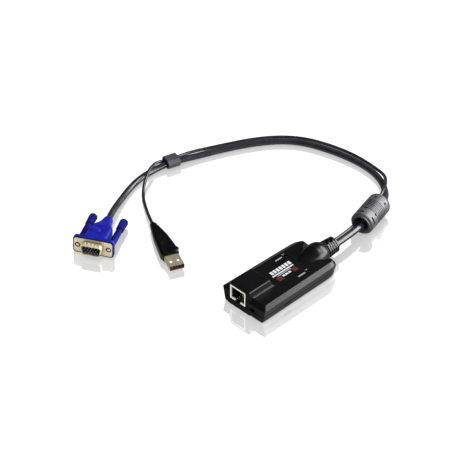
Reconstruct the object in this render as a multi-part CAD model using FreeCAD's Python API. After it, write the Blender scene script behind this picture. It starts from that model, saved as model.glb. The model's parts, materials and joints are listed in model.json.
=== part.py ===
# Network-to-VGA-and-USB adapter lead: a small snap-fit housing with an RJ45 socket, a ribbed
# gland, two leads with a ferrite bead and a ring clip round both, a 15-pin VGA plug with two
# thumbscrews, and a USB-A plug.
#
# Millimetres. The origin is on the surface that everything lies on, under the middle of the
# housing with its gland. +X runs from the socket to the gland, +Y to the left, +Z up.
import FreeCAD
import Part
import math
import os

V = FreeCAD.Vector

# ---------------------------------------------------------------- housing
OVERALL_LENGTH = 97.5       # socket face to the end of the gland
FACE_X = -OVERALL_LENGTH / 2
GLAND_END_X = OVERALL_LENGTH / 2
HOUSING_WIDTH = 45.0        # across the shoulders at the front
FRONT_SETBACK = 0.15        # front wall behind the socket block's face
FOOT_INSET = 2.5            # how far the side walls lean in at the foot
SIDE_TAPER = 0.019          # half width lost for each mm towards the gland
SHOULDER_Z = 12.1
DECK_Z = 14.1
BAND_INSET = 3.9            # sloped band between shoulder and deck
FRONT_BAND_INSET = 4.5
HIP_Z = 8.8                 # where the ears are longest
CORNER_R = 1.3
DECK_CORNER_R = 1.0
FOOT_EDGE = 0.9             # bevel round the underside
EAR_X = 35.5                # rear end of the ears
VALLEY_Y = 9.1              # where the deck between an ear and the funnel ends
WALL = 1.8
WALL_FRONT_X = FACE_X + FRONT_SETBACK
PARTING_Z = 5.8
PARTING_GAP = 0.2
LIP_THICKNESS = 0.8
LIP_HEIGHT = 1.7
LIP_CLEARANCE = 0.08

# socket block
BLOCK_TOP_Z = 20.5
BLOCK_HALF_TOP = 10.2
BLOCK_HALF_FOOT = 11.9
BLOCK_SIDE_ROOM = 5.85      # left shoulder to the block's foot
BLOCK_Y = HOUSING_WIDTH / 2 - BLOCK_SIDE_ROOM - BLOCK_HALF_FOOT
BLOCK_LEAN = 0.5
BLOCK_REAR_TOP_X = -25.6
BLOCK_REAR_FOOT_X = -17.0
BLOCK_EDGE_R = 0.9
COVE = 0.8                  # concave edge between block and deck

# funnel over the cable exit
FUNNEL_R = 10.0
FUNNEL_SLOPE_DEG = 20.3
CABLE_AXIS_Z = 9.8
FUNNEL_ELBOW_X = 27.6
FUNNEL_LEVEL_END_X = 29.0
FUNNEL_END_X = 37.75
FUNNEL_END_R = 7.1
FUNNEL_WALL = 1.8
FUNNEL_REACH = 26.0

# slots, lamps
SNAP_SLOT_X = (-26.0, -17.5)
SNAP_SLOT_HEIGHT = 1.5
SNAP_SLOT_IN = 2.9          # from the shoulder inwards to the slot's blind end
SNAP_SLOT_HALF = HOUSING_WIDTH / 2 - SNAP_SLOT_IN
FRONT_SLOT_WIDTH = 4.4
FRONT_SLOT_LEFT = BLOCK_Y - BLOCK_HALF_FOOT - 0.45
FRONT_SLOT_Y = (FRONT_SLOT_LEFT - FRONT_SLOT_WIDTH, FRONT_SLOT_LEFT)
FRONT_SLOT_HEIGHT = 2.9
LAMP_X = 8.9
LAMP_Y = 12.6
LAMP_HOLE_R = 1.25
LAMP_CLEARANCE = 0.1
LAMP_RECESS = 0.5

# socket
JACK_OFFSET = 1.25          # socket left of the middle of its block
JACK_Y = BLOCK_Y + JACK_OFFSET
JACK_WIDTH = 16.0
JACK_HEIGHT = 12.5
JACK_DEPTH = 15.5
JACK_RIM = 0.95             # width of the bright rim at the mouth
JACK_RIM_DEPTH = 1.0
JACK_SHEET = 0.4
JACK_GAP = 0.1
JACK_NOTCH = 5.6
PORT_WIDTH = 11.9
PORT_HEIGHT = 8.4
PORT_DEPTH = 12.5
CONTACT_COUNT = 8
CONTACT_PITCH = 1.02
CONTACT_R = 0.23

# board
BOARD_TOP_Z = 5.75
BOARD_THICKNESS = 1.6
BOARD_SIDE_ROOM = 6.0       # from the shoulder to the board's edge
BOARD_HALF_WIDTH = HOUSING_WIDTH / 2 - BOARD_SIDE_ROOM
BOARD_REAR_X = 22.0
BOARD_TONGUE_X = 32.3
BOARD_TONGUE_HALF = 7.0
POST_R = 1.9
POST_X = (-30.0, 15.0)
POST_Y = 13.5
SEAT_GAP = 0.02             # left between parts that sit on each other

# leads
VGA_CABLE_D = 5.2
USB_CABLE_D = 2.6
BORE_CLEARANCE = 0.06
ARC_SHARE = 0.45            # share of the shorter run that an arc takes up
VGA_ROUTE = [
    (33.0, -1.6, 9.8), (57.5, -1.6, 9.8), (83.2, 1.6, 9.1), (113.0, 9.7, 9.1),
    (125.9, 17.4, 4.4), (134.2, 27.0, 2.6), (139.1, 35.3, 2.6), (142.3, 46.0, 2.6),
    (143.3, 58.0, 2.6), (142.4, 70.9, 2.6), (140.1, 83.9, 2.6), (136.5, 96.9, 2.6),
    (131.8, 109.5, 2.6), (125.1, 120.6, 2.6), (115.9, 129.8, 2.6), (104.5, 138.0, 2.6),
    (91.2, 145.4, 2.6), (76.2, 152.4, 2.6), (60.1, 158.8, 2.6), (45.4, 164.2, 3.4),
    (31.2, 168.7, 3.6), (19.0, 170.7, 2.7), (4.7, 170.5, 2.6), (-10.8, 166.4, 2.6),
    (-25.8, 160.1, 3.3), (-39.7, 153.6, 4.8), (-52.8, 145.95, 5.4)]
USB_ROUTE = [
    (33.0, 2.6, 9.8), (57.0, 2.6, 9.8), (82.0, 5.9, 9.1), (111.8, 14.1, 9.1),
    (127.1, 19.9, 9.8), (139.0, 29.8, 7.5), (145.1, 38.8, 4.3), (148.6, 51.0, 1.6),
    (149.6, 64.0, 1.3), (148.7, 77.6, 1.3), (146.0, 91.2, 1.3), (142.1, 104.3, 1.3),
    (136.5, 117.0, 1.3), (128.0, 128.5, 1.3), (117.4, 138.2, 1.3), (104.5, 146.8, 1.3),
    (89.3, 154.4, 1.3), (73.2, 161.8, 1.4), (56.6, 168.0, 2.4), (43.5, 169.6, 3.5),
    (34.2, 172.3, 4.1), (25.5, 173.0, 6.3), (17.0, 170.3, 7.5), (9.0, 166.2, 7.1),
    (1.5, 161.4, 5.0), (-5.5, 155.5, 2.3), (-11.5, 148.2, 1.4), (-16.9, 140.0, 2.3),
    (-25.1, 127.3, 4.2), (-31.1, 114.6, 4.3)]

# gland
GLAND_R = 7.1
GLAND_END_R = 6.4
GLAND_CORE_DROP = 0.8
GLAND_RIBS = 5
GLAND_RIB_SHARE = 0.62
GLAND_NECK_R = 5.9
GLAND_FLANGE_R = 6.9
GLAND_FLANGE_THICKNESS = 1.4
GLAND_SIDES = 8
GLAND_ROUNDING = 1.045      # corner radius over flat radius
GLAND_SLOT_WIDTH = 2.6      # short slots, staggered from rib to rib
GLAND_SLOT_Y = 1.5

# ferrite bead
BEAD_START = V(81.1, 2.1, 9.5)
BEAD_YAW = 15.3
BEAD_LENGTH = 32.3
BEAD_R = 9.5
BEAD_BORE_R = 5.15
BEAD_MOUTH_R = 6.3
BEAD_MOUTH_DEPTH = 2.4
BEAD_STEP_R = 8.1
BEAD_STEP = 0.9
BEAD_FRONT_R = 1.2
BEAD_REAR_R = 3.0
CORE_R = 7.3
CORE_BORE_R = 5.4
CORE_MARGIN = 3.6
CORE_CLEARANCE = 0.05
BEAD_GROOVES = 7
BEAD_GROOVE_PITCH = 1.75
BEAD_GROOVE_WIDTH = 0.6
BEAD_GROOVE_DEPTH = 0.35
BEAD_SEAM_DEG = 67.0        # seam of the two halves, up from the right
BEAD_SLOT_X = (5.0, 30.3)
BEAD_SLOT_DEG = 42.0        # either side of the seam
BEAD_SLOT_SIZE = (0.8, 6.0, 0.9)    # along, round, deep
BEAD_HOLE_X = (10.3, 25.5)
BEAD_HOLE_DEG = 28.0
BEAD_HOLE_R = 0.55
BEAD_HOLE_DEPTH = 1.0

# ring clip
CLIP_CENTRE = V(37.5, 168.1, 4.1)
CLIP_YAW = -16.6
CLIP_LENGTH = 10.4
CLIP_WIDTH = 12.2
CLIP_HEIGHT = 8.2
CLIP_WALL = 0.75

# VGA plug, in its own frame: x rearwards from the flange face, y left, z up
VGA_FLANGE_POINT = V(-83.26, 128.9, 7.5)
VGA_YAW = 29.2
VGA_PITCH = 4.0
FLANGE_WIDTH = 30.8
FLANGE_HEIGHT = 12.5
FLANGE_THICKNESS = 0.9
FLANGE_PROUD = 0.35
FLANGE_R = 2.0
SCREW_PITCH = 25.0
SCREW_HOLE_R = 2.2
SCREW_R = 1.42
SCREW_RUNNING_GAP = 0.08
SCREW_TIP_X = -0.4
D_WIDTH = 16.9
D_HEIGHT = 8.3
D_SLANT_DEG = 10.0
D_CORNER_R = 2.0
D_REACH = 6.0
D_SHEET = 0.45
INSERT_GAP = 0.05
INSERT_FACE = 1.2
INSERT_DEPTH = 4.4
PIN_R = 0.39
PIN_ROWS = 3
PIN_COLUMNS = 5
PIN_PITCH = 2.29
PIN_ROW_PITCH = 1.98
PIN_REACH = 5.2
PIN_TAIL = 3.0
PIN_HOLE_GAP = 0.03
BEZEL_WIDTH = 32.6
BEZEL_HEIGHT = 14.3
BEZEL_REAR_X = 3.8
BEZEL_R = 2.2
HOOD_SECTIONS = [           # distance from the flange face, width, height
    (3.0, 18.0, 13.0), (19.0, 18.0, 12.2), (22.4, 17.0, 11.8), (24.2, 15.4, 11.2),
    (26.2, 13.4, 10.4), (28.8, 11.2, 9.2), (32.0, 9.4, 8.2), (36.0, 8.0, 7.4),
    (38.0, 7.6, 7.2)]
HOOD_EDGE_R = 1.8
NECK_GAP = 0.3
NECK_R = 2.65
HEAD_START_X = 27.0
HEAD_END_X = 39.8
HEAD_START_R = 3.1
HEAD_R = 3.5
HEAD_CHAMFER = 0.6
HEAD_FLUTES = 8
FLUTE_R = 0.75
SCREW_TAIL_X = 33.0
BOND_GAP = 0.02

# USB plug, in its own frame: x rearwards from the mouth, y left, z up
USB_MOUTH = V(-51.4, 68.9, 4.3)
USB_YAW = 66.0
USB_SHELL_WIDTH = 12.0
USB_SHELL_HEIGHT = 4.5
USB_SHELL_VISIBLE = 13.2
USB_SHELL_HIDDEN = 5.3
USB_SHEET = 0.3
USB_SHELL_R = 0.6
USB_WINDOW = 2.4
USB_WINDOW_X = 5.6
USB_WINDOW_Y = 2.9
TONGUE_WIDTH = 10.8
TONGUE_HEIGHT = 1.85
TONGUE_MOUTH_GAP = 0.4
USB_CONTACTS_Y = (-3.5, -1.0, 1.0, 3.5)
USB_CONTACT_WIDTH = 1.0
USB_CONTACT_THICKNESS = 0.15
USB_CONTACT_LENGTH = 8.0
USB_GRIP = [                # distance from the mouth, width, height
    (13.2, 12.9, 7.6), (14.8, 13.6, 8.2), (17.5, 14.9, 8.4), (22.5, 14.1, 8.4),
    (30.0, 12.8, 8.3), (37.0, 11.5, 7.8), (45.0, 9.0, 6.8), (52.0, 6.4, 5.7),
    (55.6, 5.0, 4.8), (56.8, 3.6, 3.6)]
USB_GRIP_R = 2.2
USB_DISH_X = 26.0
USB_DISH_R = 15.0
USB_DISH_DEPTH = 0.5


# ---------------------------------------------------------------- small helpers
def box(x0, x1, y0, y1, z0, z1):
    return Part.makeBox(x1 - x0, y1 - y0, z1 - z0, V(x0, y0, z0))


def rod(radius, start, end):
    axis = end - start
    return Part.makeCylinder(radius, axis.Length, start, axis)


def rounded_rect(width, height, radius, x, y=0.0, z=0.0):
    """Closed wire in a plane square to X, centred on (y, z)."""
    a, b, r = width / 2, height / 2, radius
    k = r * (1 - math.sqrt(0.5))
    points = [(-a + r, -b), (a - r, -b), (a, -b + r), (a, b - r),
              (a - r, b), (-a + r, b), (-a, b - r), (-a, -b + r)]
    middles = [None, (a - k, -b + k), None, (a - k, b - k),
               None, (-a + k, b - k), None, (-a + k, -b + k)]
    at = [V(x, y + p[0], z + p[1]) for p in points]
    edges = []
    for i, middle in enumerate(middles):
        start, end = at[i], at[(i + 1) % len(at)]
        if middle is None:
            edges.append(Part.LineSegment(start, end).toShape())
        else:
            edges.append(Part.Arc(start, V(x, y + middle[0], z + middle[1]), end).toShape())
    return Part.Wire(edges)


def rounded_bar(width, height, radius, x0, x1, y=0.0, z=0.0):
    face = Part.Face(rounded_rect(width, height, radius, x0, y, z))
    return face.extrude(V(x1 - x0, 0, 0))


def loft(wires, ruled=True):
    return Part.makeLoft(wires, True, ruled)


def revolve_x(points, axis_z=0.0):
    """Solid of revolution about a line along X at height axis_z, from (x, radius) corners."""
    wire = Part.makePolygon([V(x, 0, axis_z + r) for x, r in points + points[:1]])
    return Part.Face(wire).revolve(V(0, 0, axis_z), V(1, 0, 0), 360)


def fuse_all(shapes):
    result = shapes[0].multiFuse(shapes[1:]) if len(shapes) > 1 else shapes[0]
    return result.removeSplitter()


def placement(origin, yaw, pitch=0.0):
    """Frame with x rearwards, turned about Z by yaw and tipped down by pitch, in degrees."""
    turn = FreeCAD.Rotation(V(0, 0, 1), yaw).multiply(FreeCAD.Rotation(V(0, 1, 0), pitch))
    return FreeCAD.Placement(origin, turn)


def around_x(degrees):
    """Turn about X that lifts what is on the right."""
    return FreeCAD.Placement(V(), FreeCAD.Rotation(V(1, 0, 0), -degrees))


def placed(shape, where):
    copy = shape.copy()
    copy.transformShape(where.toMatrix())
    return copy


def save(name, shape):
    shape.exportStep("parts/%s.step" % name)
    print("%-16s solids %d volume %.1f valid %s"
          % (name, len(shape.Solids), shape.Volume, shape.isValid()))


# ---------------------------------------------------------------- housing form
def plan_wire(z, front_x, half, corner, ear_from_x, ear_x, ear_half, valley_x):
    """Outline at one height: straight front, tapering sides, ears, and a valley between them."""
    k = corner * (1 - math.sqrt(0.5))
    turn_half = half - SIDE_TAPER * (ear_from_x - front_x)
    side = [(front_x, half - corner), (front_x + k, half - k), (front_x + corner, half),
            (ear_from_x, turn_half), (ear_x - 0.2, turn_half - 0.3), (ear_x, ear_half),
            (valley_x, VALLEY_Y)]
    left = [V(x, y, z) for x, y in side]
    right = [V(x, -y, z) for x, y in side]

    def ear(a, b, c):
        curve = Part.BezierCurve()
        curve.setPoles([a, b, c])
        return curve.toShape()

    return Part.Wire([
        Part.LineSegment(right[0], left[0]).toShape(),
        Part.Arc(left[0], left[1], left[2]).toShape(),
        Part.LineSegment(left[2], left[3]).toShape(),
        ear(left[3], left[4], left[5]),
        Part.LineSegment(left[5], left[6]).toShape(),
        Part.LineSegment(left[6], right[6]).toShape(),
        Part.LineSegment(right[6], right[5]).toShape(),
        ear(right[5], right[4], right[3]),
        Part.LineSegment(right[3], right[2]).toShape(),
        Part.Arc(right[2], right[1], right[0]).toShape()])


def wall_half(z):
    """Half width of the outer side wall at its front, below the shoulder."""
    return HOUSING_WIDTH / 2 - FOOT_INSET * (1 - z / SHOULDER_Z)


def foot_wire(z, inset, corner):
    """Outline of the tray near its foot, moved inwards by inset."""
    rear = EAR_X - 1.2 - inset
    return plan_wire(z, WALL_FRONT_X + inset, wall_half(z) - inset, corner,
                     EAR_X - 12.0, rear, 12.0 - inset, rear)


def tray(inset, top_drop):
    """Housing without block and funnel; inset moves walls inwards, top_drop lowers the deck."""
    shoulder_z = SHOULDER_Z - top_drop * 1.05
    deck_z = DECK_Z - top_drop
    deck_front = WALL_FRONT_X + FRONT_BAND_INSET + inset * 0.3
    deck_half = HOUSING_WIDTH / 2 - BAND_INSET - inset * 0.3
    corner = max(CORNER_R - inset, 0.5)
    if inset:
        feet = [foot_wire(inset, inset, corner)]
    else:
        feet = [foot_wire(0.0, FOOT_EDGE, corner), foot_wire(FOOT_EDGE * 0.35, FOOT_EDGE * 0.3, corner),
                foot_wire(FOOT_EDGE * 1.2, 0.0, corner)]
    return loft(feet + [
        plan_wire(HIP_Z, WALL_FRONT_X + inset, wall_half(HIP_Z) - inset, corner,
                  EAR_X - 10.5 - inset, EAR_X - inset, 12.0 - inset, EAR_X - 1.2 - inset),
        plan_wire(shoulder_z, WALL_FRONT_X + inset, wall_half(shoulder_z) - inset,
                  corner, EAR_X - 13.0, EAR_X - 2.7 - inset, 14.2 - inset, EAR_X - 7.0 - inset),
        plan_wire(deck_z, deck_front, deck_half, DECK_CORNER_R,
                  EAR_X - 7.5 - inset, EAR_X - 4.1 - inset * 0.7, 14.0 - inset * 0.7,
                  EAR_X - 11.3 - inset * 0.7)])


def block_section(z, grow, front_grow, x_from=None):
    """Rectangle round the socket block at one height, moved outwards by grow."""
    share = z / BLOCK_TOP_Z
    half = BLOCK_HALF_FOOT + (BLOCK_HALF_TOP - BLOCK_HALF_FOOT) * share + grow
    front = FACE_X + BLOCK_LEAN * share - front_grow
    rear = BLOCK_REAR_FOOT_X + (BLOCK_REAR_TOP_X - BLOCK_REAR_FOOT_X) * share + grow
    start = front if x_from is None else x_from
    corners = [(start, -half), (rear, -half), (rear, half), (start, half)]
    points = [V(x, BLOCK_Y + y, z) for x, y in corners]
    return Part.makePolygon(points + points[:1])


def socket_block():
    solid = loft([block_section(0, 0, 0), block_section(BLOCK_TOP_Z, 0, 0)])
    edges = [e for e in solid.Edges if e.BoundBox.ZMax > BLOCK_TOP_Z - 0.01]
    return solid.makeFillet(BLOCK_EDGE_R, edges)


def block_cove():
    start_x = WALL_FRONT_X + FRONT_BAND_INSET
    return loft([block_section(DECK_Z - COVE / 2, COVE * 1.5, 0, start_x),
                 block_section(DECK_Z + COVE, 0, 0, start_x)])


def funnel(radius, end_x, end_r):
    """Sloping tube that levels out over the exit and rounds down to the gland."""
    slope = math.radians(FUNNEL_SLOPE_DEG)
    elbow = V(FUNNEL_ELBOW_X, 0, CABLE_AXIS_Z)
    back = V(-math.cos(slope), 0, -math.sin(slope))
    ramp = Part.makeCylinder(radius, FUNNEL_REACH, elbow, back)
    ball = Part.makeSphere(radius, elbow)
    x1 = FUNNEL_LEVEL_END_X
    top = CABLE_AXIS_Z
    bulge = (x1 + 0.62 * (end_x - x1), end_r + 0.72 * (radius - end_r))
    outline = Part.Wire([
        Part.makeLine(V(elbow.x, 0, top), V(elbow.x, 0, top + radius)),
        Part.makeLine(V(elbow.x, 0, top + radius), V(x1, 0, top + radius)),
        Part.Arc(V(x1, 0, top + radius), V(bulge[0], 0, top + bulge[1]),
                 V(end_x, 0, top + end_r)).toShape(),
        Part.makeLine(V(end_x, 0, top + end_r), V(end_x, 0, top)),
        Part.makeLine(V(end_x, 0, top), V(elbow.x, 0, top))])
    level = Part.Face(outline).revolve(V(0, 0, top), V(1, 0, 0), 360)
    return fuse_all([ramp, ball, level])


def jack_opening():
    half = JACK_WIDTH / 2 + JACK_GAP
    return box(FACE_X - 2, FACE_X + JACK_DEPTH + 0.5, JACK_Y - half, JACK_Y + half,
               BOARD_TOP_Z - JACK_GAP, BOARD_TOP_Z + JACK_HEIGHT + JACK_GAP)


def housing():
    """Both shells as one hollow body, before they are parted."""
    above_floor = box(-60, 60, -30, 30, 0, 30)
    outer = fuse_all([tray(0.0, 0.0), socket_block(), block_cove(),
                      funnel(FUNNEL_R, FUNNEL_END_X, FUNNEL_END_R).common(above_floor)])
    above_inner_floor = box(-60, 60, -30, 30, WALL, 30)
    block_room = loft([block_section(WALL, -WALL, -WALL),
                       block_section(BLOCK_TOP_Z - WALL, -WALL, -WALL)])
    funnel_room = funnel(FUNNEL_R - FUNNEL_WALL, FUNNEL_END_X - FUNNEL_WALL,
                         FUNNEL_END_R).common(above_inner_floor)
    body = outer.cut(fuse_all([tray(WALL, WALL), block_room, funnel_room]))
    gland_hole = rod(GLAND_NECK_R + 0.05, V(FUNNEL_END_X - 4, 0, CABLE_AXIS_Z),
                     V(FUNNEL_END_X + 2, 0, CABLE_AXIS_Z))
    body = body.cut(gland_hole).cut(jack_opening())
    for side in (-1, 1):
        body = body.cut(rod(LAMP_HOLE_R, V(LAMP_X, side * LAMP_Y, DECK_Z - 4),
                            V(LAMP_X, side * LAMP_Y, DECK_Z + 1)))
    return body


def lip(thickness, z_top):
    """Inner rim of the lower shell, along the sides and the free stretches of the front."""
    def rim(inset):
        return loft([foot_wire(z, inset, 0.4) for z in (PARTING_Z - 1.0, z_top)])
    ring = rim(WALL - thickness).cut(rim(WALL + 0.4))
    keep_sides = box(FACE_X, EAR_X - 16.0, -30, 30, PARTING_Z - 1.0, z_top)
    block_zone = box(FACE_X - 1, FACE_X + 8, BLOCK_Y - 12.4, BLOCK_Y + 12.4, 0, 30)
    return ring.common(keep_sides).cut(block_zone)


def shells():
    body = housing()
    lower = body.common(box(-60, 60, -30, 30, -1, PARTING_Z))
    upper = body.common(box(-60, 60, -30, 30, PARTING_Z + PARTING_GAP, 30))
    lower = lower.fuse(lip(LIP_THICKNESS, PARTING_Z + LIP_HEIGHT))
    upper = upper.cut(lip(LIP_THICKNESS + LIP_CLEARANCE, PARTING_Z + LIP_HEIGHT + LIP_CLEARANCE))
    for side in (-1, 1):
        y0, y1 = sorted((side * SNAP_SLOT_HALF, side * 30.0))
        lower = lower.cut(box(SNAP_SLOT_X[0], SNAP_SLOT_X[1], y0, y1,
                              PARTING_Z - SNAP_SLOT_HEIGHT, PARTING_Z + 0.01))
    upper = upper.cut(box(FACE_X - 2, FACE_X + WALL + 0.8, FRONT_SLOT_Y[0], FRONT_SLOT_Y[1],
                          PARTING_Z, PARTING_Z + FRONT_SLOT_HEIGHT))
    board_bottom = BOARD_TOP_Z - BOARD_THICKNESS
    posts = [rod(POST_R, V(x, side * POST_Y, WALL - 0.5), V(x, side * POST_Y, board_bottom))
             for x in POST_X for side in (-1, 1)]
    lower = fuse_all([lower] + posts)
    return upper, lower


# ---------------------------------------------------------------- inside the housing
def circuit_board():
    bottom = BOARD_TOP_Z - BOARD_THICKNESS
    wide = box(FACE_X + WALL + 0.8, BOARD_REAR_X, -BOARD_HALF_WIDTH, BOARD_HALF_WIDTH,
               bottom + SEAT_GAP, BOARD_TOP_Z)
    tongue = box(BOARD_REAR_X - 1, BOARD_TONGUE_X, -BOARD_TONGUE_HALF, BOARD_TONGUE_HALF,
                 bottom + SEAT_GAP, BOARD_TOP_Z)
    return fuse_all([wide, tongue])


def jack_shield():
    z0 = BOARD_TOP_Z + SEAT_GAP
    z1 = BOARD_TOP_Z + JACK_HEIGHT
    x0 = FACE_X + 0.1
    half = JACK_WIDTH / 2
    s = JACK_SHEET
    solid = box(x0, x0 + JACK_DEPTH, JACK_Y - half, JACK_Y + half, z0, z1)
    inside = box(x0 + JACK_RIM_DEPTH, x0 + JACK_DEPTH - s, JACK_Y - half + s,
                 JACK_Y + half - s, z0 + s, z1 - s)
    mouth = box(x0 - 1, x0 + JACK_RIM_DEPTH + 1, JACK_Y - half + JACK_RIM,
                JACK_Y + half - JACK_RIM, z0 + JACK_RIM, z1 - JACK_RIM)
    notch = box(x0 - 1, x0 + 8, JACK_Y - JACK_NOTCH / 2, JACK_Y + JACK_NOTCH / 2,
                z0 - 1, z0 + JACK_RIM + 1)
    return solid.cut(inside).cut(mouth).cut(notch)


def jack_insert():
    x0 = FACE_X + 0.1 + JACK_RIM_DEPTH + INSERT_GAP
    x1 = FACE_X + 0.1 + JACK_DEPTH - JACK_SHEET - INSERT_GAP
    margin = JACK_SHEET + INSERT_GAP
    z0 = BOARD_TOP_Z + SEAT_GAP + margin
    z1 = BOARD_TOP_Z + JACK_HEIGHT - margin
    half = JACK_WIDTH / 2 - margin
    solid = box(x0, x1, JACK_Y - half, JACK_Y + half, z0, z1)
    port_top = z1 - 1.2
    port = box(x0 - 1, x0 + PORT_DEPTH, JACK_Y - PORT_WIDTH / 2, JACK_Y + PORT_WIDTH / 2,
               port_top - PORT_HEIGHT, port_top)
    latch = box(x0 - 1, x0 + 8, JACK_Y - JACK_NOTCH / 2, JACK_Y + JACK_NOTCH / 2,
                z0 - 1, port_top - 1)
    return solid.cut(port).cut(latch)


def jack_contacts():
    top = BOARD_TOP_Z + JACK_HEIGHT - JACK_SHEET - INSERT_GAP - 1.2
    wires = []
    for i in range(CONTACT_COUNT):
        y = JACK_Y + (i - (CONTACT_COUNT - 1) / 2) * CONTACT_PITCH
        start = V(FACE_X + 3.4, y, top - CONTACT_R - 0.05)
        end = V(FACE_X + 11.0, y, top - 3.1)
        wires.append(rod(CONTACT_R, start, end))
    return Part.makeCompound(wires)


def main_chip():
    return box(-14.0, 0.0, -13.5, 0.5, BOARD_TOP_Z + SEAT_GAP, BOARD_TOP_Z + 1.6)


def video_chip():
    return box(3.5, 13.5, -5.0, 5.0, BOARD_TOP_Z + SEAT_GAP, BOARD_TOP_Z + 1.3)


def crystal():
    bar = rounded_bar(11.0, 3.5, 1.7, 0, 4.6)
    where = FreeCAD.Placement(V(-25.0, -9.0, BOARD_TOP_Z + SEAT_GAP + 1.75),
                              FreeCAD.Rotation())
    return placed(bar, where)


def board_header():
    return box(27.0, VGA_ROUTE[0][0] - SEAT_GAP, -5.2, 5.2, BOARD_TOP_Z + SEAT_GAP, 12.8)


def lamp(side):
    r = LAMP_HOLE_R - LAMP_CLEARANCE
    top = DECK_Z - LAMP_RECESS
    base = V(LAMP_X, side * LAMP_Y, BOARD_TOP_Z + SEAT_GAP)
    stem = rod(r, base, V(LAMP_X, side * LAMP_Y, top - r))
    return fuse_all([stem, Part.makeSphere(r, V(LAMP_X, side * LAMP_Y, top - r))])


# ---------------------------------------------------------------- gland, bead, clip
def octagon(radius, x0, x1):
    """Eight-sided bar with rounded corners along the cable axis; radius is to the flats."""
    corner = radius / math.cos(math.pi / GLAND_SIDES)
    angles = [math.pi * (2 * i + 1) / GLAND_SIDES for i in range(GLAND_SIDES)]
    points = [V(x0, corner * math.cos(a), CABLE_AXIS_Z + corner * math.sin(a)) for a in angles]
    bar = Part.Face(Part.makePolygon(points + points[:1])).extrude(V(x1 - x0, 0, 0))
    return bar.common(rod(radius * GLAND_ROUNDING, V(x0, 0, CABLE_AXIS_Z),
                          V(x1, 0, CABLE_AXIS_Z)))


def gland_radius(x):
    share = (x - FUNNEL_END_X) / (GLAND_END_X - FUNNEL_END_X)
    return GLAND_R + (GLAND_END_R - GLAND_R) * share


def cable_gland():
    start = FUNNEL_END_X + 0.05
    inner = FUNNEL_END_X - FUNNEL_WALL - 0.05
    pitch = (GLAND_END_X - start) / GLAND_RIBS
    pieces = [rod(GLAND_FLANGE_R, V(inner - GLAND_FLANGE_THICKNESS, 0, CABLE_AXIS_Z),
                  V(inner, 0, CABLE_AXIS_Z)),
              rod(GLAND_NECK_R, V(inner - 0.5, 0, CABLE_AXIS_Z), V(start + 0.5, 0, CABLE_AXIS_Z))]
    for i in range(GLAND_RIBS):
        x0 = start + i * pitch
        x1 = x0 + pitch * (1 - GLAND_RIB_SHARE)
        x2 = x0 + pitch
        radius = gland_radius((x0 + x2) / 2)
        pieces.append(octagon(radius - GLAND_CORE_DROP, x0, x1 + 0.01))
        pieces.append(octagon(radius, x1, x2))
    solid = fuse_all(pieces)
    for i in range(GLAND_RIBS):
        x = start + (i + 1) * pitch
        y = GLAND_SLOT_Y if i % 2 else -GLAND_SLOT_Y
        top = CABLE_AXIS_Z + gland_radius(x)
        solid = solid.cut(box(x - pitch * GLAND_RIB_SHARE - 0.1, x + 0.01, y - GLAND_SLOT_WIDTH / 2,
                              y + GLAND_SLOT_WIDTH / 2, top - GLAND_CORE_DROP, top + 2))
    for route, diameter in ((VGA_ROUTE, VGA_CABLE_D), (USB_ROUTE, USB_CABLE_D)):
        start_point = V(*route[0])
        along = V(GLAND_END_X + 3 - start_point.x, 0, 0)
        solid = solid.cut(rod(diameter / 2 + BORE_CLEARANCE, start_point, start_point + along))
    return solid


def ferrite_sleeve():
    x1 = BEAD_LENGTH
    outline = [(BEAD_MOUTH_DEPTH, BEAD_BORE_R), (0.4, BEAD_MOUTH_R), (0, BEAD_MOUTH_R + 0.4),
               (0, BEAD_STEP_R), (BEAD_STEP, BEAD_STEP_R), (BEAD_STEP, BEAD_R - BEAD_FRONT_R),
               (BEAD_STEP + BEAD_FRONT_R, BEAD_R)]
    steps = 6
    for i in range(steps + 1):
        a = math.pi / 2 * i / steps
        outline.append((x1 - BEAD_REAR_R + BEAD_REAR_R * math.sin(a),
                        BEAD_R - BEAD_REAR_R + BEAD_REAR_R * math.cos(a)))
    outline += [(x1, BEAD_BORE_R + 0.5), (x1 - 0.5, BEAD_BORE_R)]
    solid = revolve_x(outline)
    c = CORE_CLEARANCE
    room = revolve_x([(CORE_MARGIN - c, BEAD_BORE_R - 1), (CORE_MARGIN - c, CORE_R + c),
                      (x1 - CORE_MARGIN + c, CORE_R + c), (x1 - CORE_MARGIN + c, BEAD_BORE_R - 1)])
    solid = solid.cut(room)
    first = x1 / 2 - BEAD_GROOVE_PITCH * (BEAD_GROOVES - 1) / 2
    for i in range(BEAD_GROOVES):
        x = first + i * BEAD_GROOVE_PITCH
        r0 = BEAD_R - BEAD_GROOVE_DEPTH
        groove = revolve_x([(x - BEAD_GROOVE_WIDTH / 2, r0), (x - BEAD_GROOVE_WIDTH / 2, BEAD_R + 1),
                            (x + BEAD_GROOVE_WIDTH / 2, BEAD_R + 1), (x + BEAD_GROOVE_WIDTH / 2, r0)])
        solid = solid.cut(groove)
    along, across, deep = BEAD_SLOT_SIZE
    for side in (-1, 1):
        turn = BEAD_SEAM_DEG + side * BEAD_SLOT_DEG
        for x in BEAD_SLOT_X:
            slot = box(x - along / 2, x + along / 2, -BEAD_R - 1, -BEAD_R + deep,
                       -across / 2, across / 2)
            solid = solid.cut(placed(slot, around_x(turn)))
        turn = BEAD_SEAM_DEG + side * BEAD_HOLE_DEG
        for x in BEAD_HOLE_X:
            hole = rod(BEAD_HOLE_R, V(x, -BEAD_R - 1, 0), V(x, -BEAD_R + BEAD_HOLE_DEPTH, 0))
            solid = solid.cut(placed(hole, around_x(turn)))
    return placed(solid, placement(BEAD_START, BEAD_YAW))


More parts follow.
